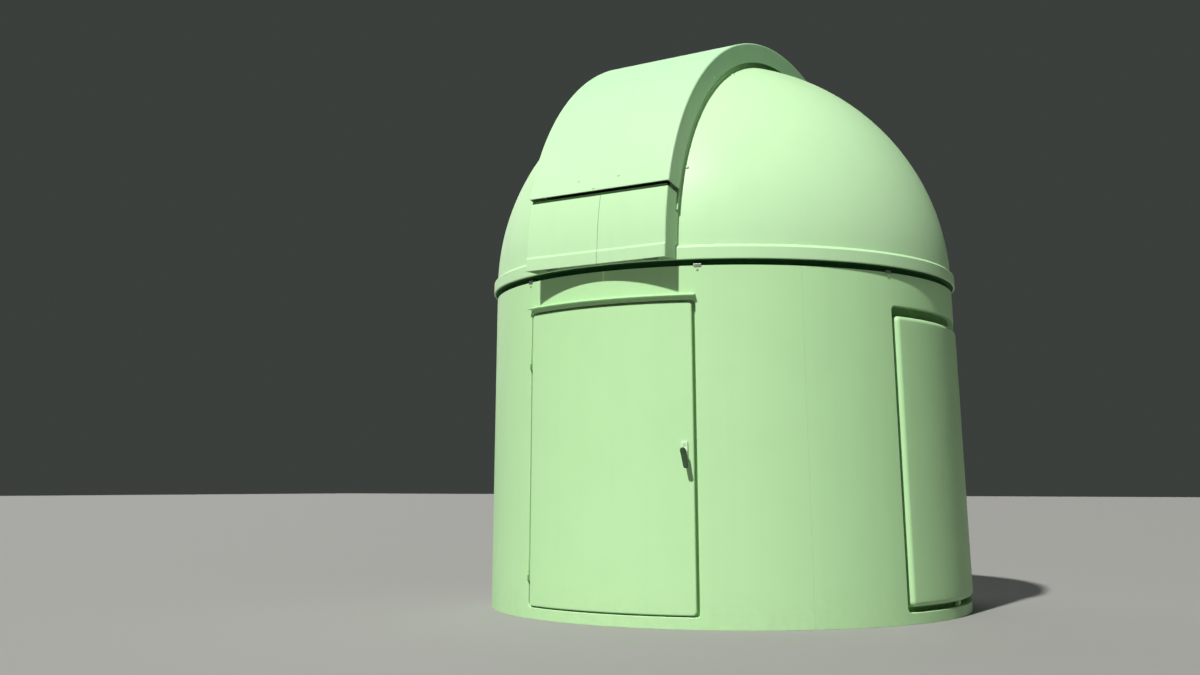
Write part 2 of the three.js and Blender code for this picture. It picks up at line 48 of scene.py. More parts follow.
# Wall and its bays: radii, heights, and half widths in degrees of the wall's arc.
WALL_R = 1100
WALL_TOP = 1416.7
SEAM_GAP, SEAM_ROUND = 0.008, 0.9
FLANGE_R, FLANGE_THICK, FLANGE_REACH = 1040, 8, 30
FIN_R = 1052
BAY_HALF = 21.96
BAY_FOOT, BAY_HEAD, BAY_CORNER, BAY_ROUND = 45, 1277, 22, 3
REVEAL_R = 1085
STOP_HALF, STOP_R, STOP_BACK, STOP_ROUND = 20.2, 1071.5, 1065.5, 1
DOOR_STOP = (72, 1250)
BLANK_STOP = (82, 1222)
BLANK_BAYS = (("right", 90), ("rear", 180), ("left", 270))
ROLLERS, ROLLER_START = 8, 22.5
SEAM_BEARINGS = (45, 135, 225, 315)
SEAM_BOLT_HEIGHTS = (110, 410, 710, 1010, 1310)

# Blank panels, the dark strips in the gaps round them, which are painted shade, and the door's leaf.
PANEL_HALF, PANEL_FOOT, PANEL_HEAD, PANEL_CORNER = 20.66, 66, 1236, 22
PANEL_FACE, PANEL_BACK = WALL_R + 5, STOP_R + 0.3
GAP_SHADE_OVER, GAP_SHADE_WIDE, GAP_SHADE_HEAD = 0.3, 17, 51
LEAF_HALF, LEAF_FOOT, LEAF_HEAD, LEAF_CORNER = 21.33, 50.2, 1269, 18
LEAF_BACK, LEAF_BEARING = 1076.8, -0.21

# Dome: its centre is level with the ring that carries it. The seal fills the gap between wall and ring.
DOME_Z = 1489
DOME_R = 1100
RING_IN, RING_OUT = 1109, 1117
RING_FOOT, RING_BEAD, RING_HEAD = 1440.6, 1492, 1505
RING_FLANGE_IN, RING_FLANGE_OUT, RING_FLANGE_HEAD = 1040, 1109.2, 1448.6
SEAL_IN, SEAL_OUT, SEAL_FOOT, SEAL_HEAD = 1046, 1084, 1416.8, 1440.4
SHELL_FOOT, SHELL_GAP = 1505.3, 0.3
SLOT_HALF = 315
FRONT_SILL_END, REAR_SHELL_START = 2.6, 103

# Rails, main shutter and flap: half widths, radii about the dome's centre, and rises about its level axis.
RAIL_HALF, RAIL_WEB, RAIL_TOP, RAIL_LIP = 354, 348, 1068, 1090
RAIL_START, RAIL_END = 8.8, 172
COVER_HALF, COVER_R = 356, 1163
COVER_START, COVER_END = 13.8, 108.5
FLAP_HALF, FLAP_R, FLAP_BAND, FLAP_END = 350, 1153, 1158, 12.75
FLAP_SEAM, SEAM_HALF = 18, 0.7
FLAP_HINGES = (-250, 250)
FLAP_PIN_R, FLAP_PIN_Z = 1130, 1453
BAND_BACK, SIDE_BACK, OVER_RAIL = 1069.1, 1052.3, 1074

# Door hinges and handle: bearings, radius and heights.
HINGE_DEG, HINGE_R = -21.75, 1104
HINGE_FEET = {"upper": 1030, "lower": 150}
HINGE_HEIGHT, HINGE_PIN, HINGE_GAP = 90, 24, 0.15
STRAP_PLACE, STRAP_REACH = 2.7, 26
HANDLE_DEG, HANDLE_Z, GRIP_TILT = 19.15, 672, 10
LOCK_UP = 26

# Studio, in metres, with the camera where the photograph was taken from, its sensor and lens in millimetres.
FLOOR_REACH = 60
SOFTBOX_PLACE, SOFTBOX_AIM = Vector((2.7, -1.2, 4.4)), Vector((0.4, -0.5, 1.9))
CAMERA_PLACE, CAMERA_LOOK = (2.869, -5.535, 0.540), Vector((-0.5267, 0.8140, 0.2448))
SENSOR, LENS, LENS_SHIFT = 36, 37.8, -0.142

# Sockets of a Mix node in its RGBA mode: its factor, its two colours and its result
MIX_FACTOR, MIX_UNDER, MIX_OVER, MIX_RESULT = 0, 6, 7, 2


# Materials
def material(name, colour, roughness, metallic=0.0, coat=0.0):
    made = bpy.data.materials.new(name)
    made.use_nodes = True
    shader = made.node_tree.nodes["Principled BSDF"]
    shader.inputs["Base Color"].default_value = (*colour, 1)
    shader.inputs["Roughness"].default_value = roughness
    shader.inputs["Metallic"].default_value = metallic
    shader.inputs["Coat Weight"].default_value = coat
    return made, made.node_tree, shader


def node(tree, kind, **settings):
    made = tree.nodes.new(kind)
    for key, value in settings.items():
        setattr(made, key, value)
    return made


def object_place(tree):
    return node(tree, "ShaderNodeTexCoord").outputs["Object"]


def height_of(tree, place):
    split = node(tree, "ShaderNodeSeparateXYZ")
    tree.links.new(place, split.inputs["Vector"])
    return split.outputs["Z"]


def noise(tree, source, scale, detail, stretch=None, seed=0.0):
    """Cloudy noise. A stretch scales it by axis, and a seed moves a stretched one to another place."""
    coords = source
    if stretch is not None:
        mapping = node(tree, "ShaderNodeMapping")
        mapping.inputs["Scale"].default_value = stretch
        mapping.inputs["Location"].default_value = (seed, seed * 1.7, seed * 0.6)
        tree.links.new(source, mapping.inputs["Vector"])
        coords = mapping.outputs["Vector"]
    made = node(tree, "ShaderNodeTexNoise")
    made.inputs["Scale"].default_value = scale
    made.inputs["Detail"].default_value = detail
    tree.links.new(coords, made.inputs["Vector"])
    return made.outputs["Fac"]


def mapped(tree, source, low, high, to_low, to_high):
    made = node(tree, "ShaderNodeMapRange")
    for key, value in (("From Min", low), ("From Max", high), ("To Min", to_low), ("To Max", to_high)):
        made.inputs[key].default_value = value
    tree.links.new(source, made.inputs["Value"])
    return made.outputs["Result"]


def product(tree, a, b):
    made = node(tree, "ShaderNodeMath", operation="MULTIPLY")
    tree.links.new(a, made.inputs[0])
    tree.links.new(b, made.inputs[1])
    return made.outputs[0]


def mixed(tree, factor, under, over):
    """Two colours, each a tuple or a socket, mixed by a factor."""
    made = node(tree, "ShaderNodeMix", data_type="RGBA")
    tree.links.new(factor, made.inputs[MIX_FACTOR])
    for value, socket in ((under, made.inputs[MIX_UNDER]), (over, made.inputs[MIX_OVER])):
        if isinstance(value, tuple):
            socket.default_value = (*value, 1)
        else:
            tree.links.new(value, socket)
    return made.outputs[MIX_RESULT]


def risen(tree, height, under, over):
    """A colour that gives way to another one with height. over is that one and its two heights, in metres."""
    colour, low, high = over
    return mixed(tree, mapped(tree, height, low, high, 0.0, 1.0), under, colour)


def bump(tree, height, strength, distance, below=None):
    made = node(tree, "ShaderNodeBump")
    made.inputs["Strength"].default_value = strength
    made.inputs["Distance"].default_value = distance
    tree.links.new(height, made.inputs["Height"])
    if below is not None:
        tree.links.new(below, made.inputs["Normal"])
    return made.outputs["Normal"]


def gelcoat(name, base, weathered, seed, foot_dirt=0.0, painted_upper_shade=None):
    """Satin gelcoat: broad fading, faint rain streaks, a slight waviness and a fine orange peel.

    foot_dirt is the strength of the splashes near the ground. The last argument is a darker colour that takes
    over higher up: painted shade.
    """
    roughness, even = 0.44, (1, 1, 1)
    made, tree, shader = material(name, base, roughness, coat=0.03)
    shader.inputs["Coat Roughness"].default_value = 0.25
    shader.inputs["Specular IOR Level"].default_value = 0.16
    place = object_place(tree)
    broad = noise(tree, place, 0.9, 2.0, even, seed)
    cloudy = noise(tree, place, 6.0, 4.0, even, seed + 3)
    streaks = noise(tree, place, 1.0, 4.0, (16, 16, 0.8), seed + 7)
    stain = tuple(0.93 * c for c in base)
    height = height_of(tree, place)
    tone = base if painted_upper_shade is None else risen(tree, height, base, painted_upper_shade)
    colour = mixed(tree, mapped(tree, broad, 0.35, 0.65, 0.0, 0.55), tone, weathered)
    colour = mixed(tree, mapped(tree, cloudy, 0.45, 0.75, 0.0, 0.35), colour, stain)
    colour = mixed(tree, mapped(tree, streaks, 0.5, 0.8, 0.0, 0.3), colour, stain)
    if foot_dirt:
        splash = mapped(tree, height, 0.0, 0.16, foot_dirt, 0.0)
        spots = mapped(tree, noise(tree, place, 34.0, 5.0, even, seed + 5), 0.4, 0.7, 0.2, 1.0)
        colour = mixed(tree, product(tree, splash, spots), colour, (0.30, 0.29, 0.17))
    tree.links.new(colour, shader.inputs["Base Color"])
    rough = mapped(tree, cloudy, 0.3, 0.7, roughness - 0.05, roughness + 0.08)
    tree.links.new(rough, shader.inputs["Roughness"])
    ripple = bump(tree, noise(tree, place, 3.2, 1.0), 0.12, 0.004)
    peel = bump(tree, noise(tree, place, 60.0, 2.0), 0.05, 0.0006, ripple)
    tree.links.new(peel, shader.inputs["Normal"])
    return made


def metal(name, colour, roughness):
    """Brushed metal with dull patches."""
    made, tree, shader = material(name, colour, roughness, metallic=1.0)
    place = object_place(tree)
    brushed = noise(tree, place, 1.0, 3.0, (40, 40, 900))
    dull = mapped(tree, noise(tree, place, 35.0, 4.0), 0.4, 0.7, 0, 0.5)
    tree.links.new(mixed(tree, dull, colour, tuple(0.7 * c for c in colour)), shader.inputs["Base Color"])
    rough = mapped(tree, brushed, 0.3, 0.7, roughness - 0.08, roughness + 0.12)
    tree.links.new(rough, shader.inputs["Roughness"])
    tree.links.new(bump(tree, brushed, 0.08, 0.0004), shader.inputs["Normal"])
    return made


def moulded(name, colour, roughness, painted_top_shade=None):
    """Grained plastic or rubber with dusty patches. The last argument is a darker colour that takes over
    higher up: painted shade.
    """
    made, tree, shader = material(name, colour, roughness)
    shader.inputs["Specular IOR Level"].default_value = 0.2
    place = object_place(tree)
    worn = mapped(tree, noise(tree, place, 25.0, 4.0), 0.45, 0.75, 0, 0.6)
    dusty = tuple(min(1, 1.5 * c + 0.004) for c in colour)
    shade = mixed(tree, worn, colour, dusty)
    if painted_top_shade is not None:
        shade = risen(tree, height_of(tree, place), shade, painted_top_shade)
    tree.links.new(shade, shader.inputs["Base Color"])
    tree.links.new(bump(tree, noise(tree, place, 400.0, 2.0), 0.15, 0.0005), shader.inputs["Normal"])
    return made


# Darker colours that take over higher up, each with its two heights in metres: painted shade on the top of
# the hood and of the rails' strips
HOOD_UPPER_SHADE = ((0.338, 0.572, 0.330), 1.80, 2.45)
RAIL_TOP_SHADE = ((0.035, 0.09, 0.025), 2.36, 2.55)

# The dome, hood and flap gelcoats are a little lighter and bluer than the wall's and differ from one another,
# to even out how the light and sky fall on each part: painted light and painted sky reflection
GREEN = gelcoat("gelcoat_wall", (0.400, 0.648, 0.335), (0.418, 0.658, 0.356), 2.0, foot_dirt=0.14)
GREEN_DOME = gelcoat("gelcoat_dome", (0.434, 0.668, 0.378), (0.448, 0.678, 0.396), 23.0)
# The hood's gelcoat darkens towards its top: painted shade on the hood's upper part
GREEN_TOP = gelcoat("gelcoat_shutter", (0.462, 0.672, 0.420), (0.402, 0.630, 0.368), 11.0, painted_upper_shade=HOOD_UPPER_SHADE)
GREEN_FLAP = gelcoat("gelcoat_flap", (0.432, 0.662, 0.378), (0.446, 0.672, 0.396), 17.0)
STEEL = metal("brushed_steel", (0.46, 0.48, 0.45), 0.36)
DARK = moulded("dark_moulding", (0.020, 0.028, 0.020), 0.45)
# Dim green-grey for the hinge pins' feet, partly painted shade under the hinges
DIM = moulded("dim_moulding", (0.18, 0.31, 0.14), 0.6)
# Painted shade: the dark strip in the gap between the hood and the flap
FLAP_GAP_SHADE = moulded("flap_gap_shade", (0.012, 0.044, 0.008), 0.8)
BOLT_PAINT = moulded("bolt_paint", (0.28, 0.46, 0.23), 0.5)
# The bearing seal's dark green: the seal's own colour, and painted shade in the gap under the dome
SEAL_AND_SHADE = moulded("rubber_seal_and_shade", (0.008, 0.060, 0.012), 0.85)
# Painted shade in the gaps round the blank panels
GAP_SHADE = moulded("gap_painted_shade", (0.10, 0.225, 0.070), 0.8)
# Painted shade under the dome's ring
UNDERSIDE_SHADE = moulded("ring_underside_shade", (0.022, 0.120, 0.026), 0.8)
# A dark strip on the rails, darker still towards the top: painted shade under the hood's side
RAIL_SHADE = moulded("rail_shade_strip", (0.26, 0.44, 0.21), 0.7, RAIL_TOP_SHADE)
GRIP = moulded("grip_moulding", (0.028, 0.058, 0.026), 0.4)
ENAMEL = moulded("plate_enamel", (0.50, 0.70, 0.45), 0.35)


# Meshes
def piece(name, verts, faces, look, body, nodes=(), slot="gelcoat"):
    """A mesh piece from points in millimetres, facing out, that rides on a body and replaces nodes."""
    mesh = bpy.data.meshes.new(name)
    mesh.from_pydata([Vector(v) * MM for v in verts], [], faces)
    bm = bmesh.new()
    bm.from_mesh(mesh)
    bmesh.ops.remove_doubles(bm, verts=bm.verts, dist=2e-6)
    bmesh.ops.recalc_face_normals(bm, faces=bm.faces)
    bm.to_mesh(mesh)
    bm.free()
    mesh.shade_smooth()
    mesh.set_sharp_from_angle(angle=math.radians(SHARP_ANGLE))
    made = bpy.data.objects.new(name, mesh)
    bpy.context.scene.collection.objects.link(made)
    mesh.materials.append(look)
    weighted = made.modifiers.new("weighted_normals", "WEIGHTED_NORMAL")
    weighted.keep_sharp = True
    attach(made, body)
    if nodes:
        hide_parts(*nodes)
    return made


def polar(r, bearing, z):
    """A point at a radius, a bearing in radians and a height about the wall's axis."""
    return (r * math.sin(bearing), -r * math.cos(bearing), z)


def arc_point(u, r, rise):
    """A point at a distance across, and at a radius and a rise in radians about the dome's level axis."""
    return (u, -r * math.cos(rise), DOME_Z + r * math.sin(rise))


def stations(start, end, step):
    count = max(1, round((end - start) / step))
    return [start + (end - start) * i / count for i in range(count + 1)]


def rounded(corners, steps=4):
    """A closed outline from (a, b, radius) corners, each rounded by its own radius."""
    outline = []
    for i, (x, y, radius) in enumerate(corners):
        here = Vector((x, y))
        before = Vector(corners[i - 1][:2]) - here
        after = Vector(corners[(i + 1) % len(corners)][:2]) - here
        if radius <= 0:
            outline.append((x, y))
            continue
        half = before.angle(after) / 2
        cut = min(radius / math.tan(half), 0.49 * min(before.length, after.length))
        radius = cut * math.tan(half)
        u, v = before.normalized(), after.normalized()
        centre = here + (u + v).normalized() * (radius / math.sin(half))
        start = here + u * cut - centre
        end = here + v * cut - centre
        first = math.atan2(start.y, start.x)
        turn = math.atan2(end.y, end.x) - first
        turn = (turn + math.pi) % (2 * math.pi) - math.pi
        for k in range(steps + 1):
            angle = first + turn * k / steps
            outline.append((centre.x + radius * math.cos(angle), centre.y + radius * math.sin(angle)))
    return outline


def oblong(low_a, low_b, high_a, high_b, *radii):
    """Corners of a rectangle for rounded(), anticlockwise, with one radius for all or one for each."""
    corners = ((low_a, low_b), (high_a, low_b), (high_a, high_b), (low_a, high_b))
    return [(a, b, radii[i % len(radii)]) for i, (a, b) in enumerate(corners)]


def mirrored(corners, sign):
    return [(sign * u, r, radius) for u, r, radius in corners]


def shrunk(outline, by):
    """The outline with every edge moved in by a distance."""
    area = sum(a[0] * b[1] - b[0] * a[1] for a, b in zip(outline, outline[1:] + outline[:1]))
    side = 1 if area > 0 else -1
    made = []
    for i, point in enumerate(outline):
        here = Vector(point)
        edges = [(here - Vector(outline[i - 1])), (Vector(outline[(i + 1) % len(outline)]) - here)]
        normals = [Vector((-e.y, e.x)).normalized() * side for e in edges if e.length > 1e-9]
        average = sum(normals, Vector((0, 0)))
        if average.length < 1e-6:
            made.append(point)
            continue
        average.normalize()
        reach = by / max(0.4, average.dot(normals[0]))
        made.append(tuple(here + average * reach))
    return made


def lofted(loops, closed=False):
    """Points and faces of a row of loops, joined, with ends closed or joined round."""
    n = len(loops[0])
    verts = [p for loop in loops for p in loop]
    faces = []
    spans = len(loops) if closed else len(loops) - 1
    for i in range(spans):
        a, b = i * n, (i + 1) % len(loops) * n
        faces += [(a + j, a + (j + 1) % n, b + (j + 1) % n, b + j) for j in range(n)]
    if not closed:
        faces.append(tuple(reversed(range(n))))
        faces.append(tuple(range((len(loops) - 1) * n, len(loops) * n)))
    return verts, faces


def softened(outline, start, end, soft, step, round_ends):
    """Rows of (place, outline) from start to end. The outermost rows shrink, so that the ends are rounded."""
    small = shrunk(outline, round_ends * 0.6)
    medium = shrunk(outline, round_ends * 0.18)
    rows = [(start, small), (start + soft * 0.4, medium)]
    rows += [(place, outline) for place in stations(start + soft, end - soft, step)]
    return rows + [(end - soft * 0.4, medium), (end, small)]


def swept(name, outline, start, end, look, nodes, body="dome", slot="gelcoat", step=1.5, round_ends=1.5):
    """An outline of width and radius swept about the dome's level axis, with softened ends."""
    soft = math.degrees(round_ends / max(r for _, r in outline))
    rows = softened(outline, start, end, soft, step, round_ends)
    loops = [[arc_point(u, r, math.radians(rise)) for u, r in profile] for rise, profile in rows]
    return piece(name, *lofted(loops), look, body, nodes, slot)


def turned(name, outline, start, end, look, body, nodes, slot="gelcoat", step=1.5, round_ends=1.5):
    """An outline of radius and height turned about the wall's axis; all the way round if the ends meet."""
    if end - start >= 360:
        loops = [[polar(r, math.radians(b), z) for r, z in outline] for b in stations(start, end, step)[:-1]]
        return piece(name, *lofted(loops, closed=True), look, body, nodes, slot)
    soft = math.degrees(round_ends / max(r for r, _ in outline))
    rows = softened(outline, start, end, soft, step, round_ends)
    loops = [[polar(r, math.radians(b), z) for r, z in profile] for b, profile in rows]
    return piece(name, *lofted(loops), look, body, nodes, slot)


class Shells:
    """Closed shells gathered into one piece."""

    def __init__(self):
        self.verts, self.faces = [], []

    def add(self, verts, faces):
        base = len(self.verts)
        self.verts += verts
        self.faces += [tuple(base + i for i in face) for face in faces]

    def prism(self, outline, place, low, high, soft=0.6, steps=2):
        """An outline carried from one depth to another, with rounded rims.

        place turns (a, b, depth) to a point.
        """
        turns = [math.radians(90 * k / steps) for k in range(steps + 1)]
        near = [(low + soft * (1 - math.cos(a)), soft * (1 - math.sin(a))) for a in turns]
        rows = near + [(low + high - depth, inset) for depth, inset in reversed(near)]
        self.add(*lofted([[place(a, b, depth) for a, b in shrunk(outline, inset)] for depth, inset in rows]))

    def stud(self, centre, axis, profile, sides=20, hexagon=()):
        """A turned head or barrel from (radius, height) pairs about an axis.

        The rows that hexagon numbers are six-sided.
        """
        axis = Vector(axis).normalized()
        across = axis.orthogonal().normalized()
        along = axis.cross(across)
        loops = []
        for i, (radius, height) in enumerate(profile):
            loop = []
            for k in range(sides):
                angle = 2 * math.pi * k / sides
                reach = radius
                if i in hexagon:
                    reach = radius / math.cos((angle + math.pi / 6) % (math.pi / 3) - math.pi / 6)
                point = Vector(centre) + axis * height
                loop.append(tuple(point + (across * math.cos(angle) + along * math.sin(angle)) * reach))
            loops.append(loop)
        self.add(*lofted(loops))

    def bolt(self, centre, axis, flat=6.5, height=6):
        """A hexagon head on a washer."""
        washer = flat * 1.45
        profile = [(washer, -0.3), (washer, 1.4), (flat, 1.4), (flat, height * 0.85), (flat * 0.88, height)]
        self.stud(centre, axis, profile, 24, hexagon=(2, 3))

    def screw(self, centre, axis, radius, height):
        """A low round head."""
        turns = [math.radians(a) for a in (0, 30, 60, 80)]
        profile = [(radius * math.cos(a), height * math.sin(a)) for a in turns]
        self.stud(centre, axis, [(radius, -0.4)] + profile)

    def make(self, name, look, body, nodes=(), slot="gelcoat"):
        return piece(name, self.verts, self.faces, look, body, nodes, slot)


# Nested outlines on the wall's arc, each with closer points near its corners
CORNER_REACH = 22.0
CORNER_STEPS = 4
SPREAD_RINGS = 24


def marks(length, steps):
    """Distances along one side of an outline from its first corner, the far corner included."""
    ends = [CORNER_REACH * i / CORNER_STEPS for i in range(CORNER_STEPS)]
    middle = [CORNER_REACH + (length - 2 * CORNER_REACH) * i / steps for i in range(steps + 1)]
    return ends + middle + [length - d for d in reversed(ends)]


def outline_ring(half, foot, head, corner, wide, tall):
    """A rounded rectangle in arc length and height, with the same count of points whatever its size."""
    corners = [(-half, foot), (half, foot), (half, head), (-half, head)]
    ring = []
    for i in range(4):
        start = Vector(corners[i])
        end = Vector(corners[(i + 1) % 4])
        length = (end - start).length
        e = (end - start) / length
        n = Vector((-e.y, e.x))
        for d in marks(length, wide if i % 2 == 0 else tall)[:-1]:
            near_end = d > length / 2
            reach = length - d if near_end else d
            if reach >= corner or corner <= 0:
                ring.append(start + e * d)
                continue
            turn = math.radians(45 + 45 * reach / corner)
            forward = -e if near_end else e
            origin = end if near_end else start
            centre = origin + (forward + n) * corner
            ring.append(centre - (forward * math.cos(turn) + n * math.sin(turn)) * corner)
    return ring


class Nest:
    """Closed outlines on the wall's arc, one inside the next, joined into a skin."""

    def __init__(self, wide, tall):
        self.wide, self.tall = wide, tall
        self.verts, self.faces, self.starts = [], [], []

    def add(self, half, foot, head, corner, radius):
        """One more outline; its radius is a number, or a function of arc length and height."""
        ring = outline_ring(half, foot, head, corner, self.wide, self.tall)
        at = radius if callable(radius) else lambda a, z: radius
        self.starts.append(len(self.verts))
        self.size = len(ring)
        self.verts += [polar(at(a, z), a / WALL_R, z) for a, z in ring]
        if len(self.starts) > 1:
            self.join(self.starts[-2], self.starts[-1])

    def spread(self, from_size, to_size, radius):
        """Evenly graded outlines after one size and up to another, each a (half, foot, head, corner)."""
        for k in range(1, SPREAD_RINGS + 1):
            self.add(*(a + (b - a) * k / SPREAD_RINGS for a, b in zip(from_size, to_size)), radius)

    def join(self, a, b):
        n = self.size
        self.faces += [(a + j, a + (j + 1) % n, b + (j + 1) % n, b + j) for j in range(n)]

    def close(self):
        """Joins the last outline to the first."""
        self.join(self.starts[-1], self.starts[0])

    def fill(self, half, foot, head, radius, at):
        """Closes a square outline, whose points begin at an index, with a grid."""
        across, up = marks(2 * half, self.wide), marks(head - foot, self.tall)
        nx, nz = len(across) - 1, len(up) - 1
        index = {}
        for i in range(nx):
            index[i, 0] = at + i
            index[nx - i, nz] = at + nx + nz + i
        for j in range(nz):
            index[nx, j] = at + nx + j
            index[0, nz - j] = at + 2 * nx + nz + j
        for i in range(1, nx):
            for j in range(1, nz):
                index[i, j] = len(self.verts)
                self.verts.append(polar(radius, (across[i] - half) / WALL_R, foot + up[j]))
        for i in range(nx):
            for j in range(nz):
                self.faces.append((index[i, j], index[i + 1, j], index[i + 1, j + 1], index[i, j + 1]))


def quarter(radius, steps=4):
    """(inset, drop) pairs over a quarter round, from the edge up on to the face."""
    turns = [math.radians(90 * k / steps) for k in range(steps + 1)]
    return [(radius * (1 - math.cos(a)), radius * (1 - math.sin(a))) for a in turns]


def rotated(verts, bearing):
    c, s = math.cos(math.radians(bearing)), math.sin(math.radians(bearing))
    return [(c * x - s * y, s * x + c * y, z) for x, y, z in verts]


def arc(degrees):
    return math.radians(degrees) * WALL_R


# Wall, blank panels and door
def wall_quadrant(stop):
    """A quarter of the wall: skin, flanges all round, and a bay with its reveal and stop."""
    nest = Nest(wide=56, tall=18)
    edge, bay, stop_half = arc(45 - SEAM_GAP), arc(BAY_HALF), arc(STOP_HALF)
    foot_stop, head_stop = stop
    # Widths are arc lengths on the outer face, so the skin's thickness takes a little more there.
    back, side_skin = WALL_R - SKIN, SKIN + 0.3
    for inset, drop in quarter(SEAM_ROUND, 3):
        nest.add(edge - inset, inset, WALL_TOP - inset, 0, WALL_R - drop)
    outer = (edge - SEAM_ROUND, SEAM_ROUND, WALL_TOP - SEAM_ROUND, 0)
    inner = (bay + BAY_ROUND, BAY_FOOT - BAY_ROUND, BAY_HEAD + BAY_ROUND, BAY_CORNER + BAY_ROUND)
    nest.spread(outer, inner, WALL_R)
    for inset, drop in reversed(quarter(BAY_ROUND)[:-1]):
        nest.add(bay + inset, BAY_FOOT - inset, BAY_HEAD + inset, BAY_CORNER + inset, WALL_R - drop)
    for radius in (REVEAL_R, STOP_R):
        nest.add(bay, BAY_FOOT, BAY_HEAD, BAY_CORNER, radius)
    for inset, drop in reversed(quarter(STOP_ROUND, 2)):
        nest.add(stop_half + inset, foot_stop - inset, head_stop + inset, BAY_CORNER + inset, STOP_R - drop)
    nest.add(stop_half, foot_stop, head_stop, BAY_CORNER, STOP_BACK)
    inner = (bay + side_skin, BAY_FOOT - SKIN, BAY_HEAD + SKIN, BAY_CORNER + SKIN)
    for radius in (STOP_BACK, back):
        nest.add(*inner, radius)
    outer = (edge - side_skin, FLANGE_THICK, WALL_TOP - FLANGE_THICK, 0)
    nest.spread(inner, outer, back)

    def depth(a, z):
        return FIN_R if FLANGE_REACH < z < WALL_TOP - FLANGE_REACH else FLANGE_R

    nest.add(*outer, depth)
    nest.add(edge, 0, WALL_TOP, 0, depth)
    nest.close()
    return nest


def tray(half, foot, head, corner, face, back, round_over, steps):
    """A curved panel, hollow from behind, whose face is rounded over by a radius, in a number of steps."""
    rim, thickness, border = 14, 8, 40
    hollow = (half - rim, foot + rim, head - rim)
    middle = (half - border, foot + border, head - border)
    nest = Nest(wide=44, tall=16)
    nest.add(*hollow, 0, face - thickness)
    nest.add(*hollow, 0, back)
    nest.add(half, foot, head, corner, back)
    for inset, drop in quarter(round_over, steps):
        nest.add(half - inset, foot + inset, head - inset, max(0.0, corner - inset), face - drop)
    nest.add(*middle, 0, face)
    nest.fill(*middle, face, nest.starts[-1])
    nest.fill(*hollow, face - thickness, nest.starts[0])
    return nest


def gap_shade_sheet():
    """A dark strip in the gap round a blank panel, wider at its head: painted shade, deepest under the bay's
    head.
    """
    bay = arc(BAY_HALF)
    low, high = STOP_R + 0.1, STOP_R + 2
    outer = (bay + GAP_SHADE_OVER, BAY_FOOT - GAP_SHADE_OVER, BAY_HEAD + GAP_SHADE_OVER)
    inner = (bay - GAP_SHADE_WIDE, BAY_FOOT + GAP_SHADE_WIDE, BAY_HEAD - GAP_SHADE_HEAD)
    nest = Nest(wide=44, tall=16)
    for size, radius in ((outer, low), (outer, high), (inner, high), (inner, low)):
        nest.add(*size, BAY_CORNER, radius)
    nest.close()
    return nest


front = wall_quadrant(DOOR_STOP)
front_nodes = ["front_wall_left", "front_wall_right", "front_wall_head", "front_wall_sill"]
piece("wall_quarter_front", front.verts, front.faces, GREEN, "walls", front_nodes)
blank = wall_quadrant(BLANK_STOP)
panel = tray(arc(PANEL_HALF), PANEL_FOOT, PANEL_HEAD, PANEL_CORNER, PANEL_FACE, PANEL_BACK, 20, 7)
for side, bearing in BLANK_BAYS:
    wall_node, panel_node = [side + "_wall"], [side + "_blank_panel"]
    piece("wall_quarter_" + side, rotated(blank.verts, bearing), blank.faces, GREEN, "walls", wall_node)
    piece("bay_panel_" + side, rotated(panel.verts, bearing), panel.faces, GREEN, "walls", panel_node)
# Dark strips in the gaps round the blank panels: painted shade
strip = gap_shade_sheet()
for side, bearing in BLANK_BAYS:
    piece("bay_gap_shade_" + side, rotated(strip.verts, bearing), strip.faces, GAP_SHADE, "walls", slot="dark")
leaf = tray(arc(LEAF_HALF), LEAF_FOOT, LEAF_HEAD, LEAF_CORNER, WALL_R, LEAF_BACK, 6, 5)
piece("door_panel", rotated(leaf.verts, LEAF_BEARING), leaf.faces, GREEN, "door", ["door_leaf"])

drip = rounded([(1100.1, 1290, 0), (1106, 1290, 1), (1124, 1292, 1.5), (1124, 1297, 2), (1100.1, 1305, 0)])
turned("door_rain_strip", drip, -BAY_HALF, BAY_HALF, GREEN, "walls", ["door_drip_strip"], round_ends=5)

# The seal in the gap under the dome, a real part whose dark green is also painted shade in that gap, and the
# dome's ring with its flange
seal = rounded(oblong(SEAL_IN, SEAL_FOOT, SEAL_OUT, SEAL_HEAD, 2), 2)
turned("bearing_seal", seal, 0, 360, SEAL_AND_SHADE, "walls", ["bearing_ring"], "dark", step=2)
ring = rounded(
    [
        (RING_IN, RING_FOOT, 1),
        (RING_OUT, RING_FOOT, 4),
        (RING_OUT, RING_BEAD, 5),
        (1101, RING_HEAD, 5),
        (1094, RING_HEAD, 1),
        (RING_IN, 1482, 3),
    ]
)
turned("dome_ring", ring, 0, 360, GREEN_DOME, "dome", ["dome_base_ring"])
# The flange under the ring is dark green, unlike the ring: painted shade under the dome's ring
flange = rounded(
    [
        (RING_FLANGE_IN, RING_FOOT, 2),
        (RING_FLANGE_OUT, RING_FOOT, 0.5),
        (RING_FLANGE_OUT, RING_FLANGE_HEAD, 0.5),
        (RING_FLANGE_IN, RING_FLANGE_HEAD, 2),
    ]
)
turned("dome_ring_flange", flange, 0, 360, UNDERSIDE_SHADE, "dome", (), "dark", step=2)


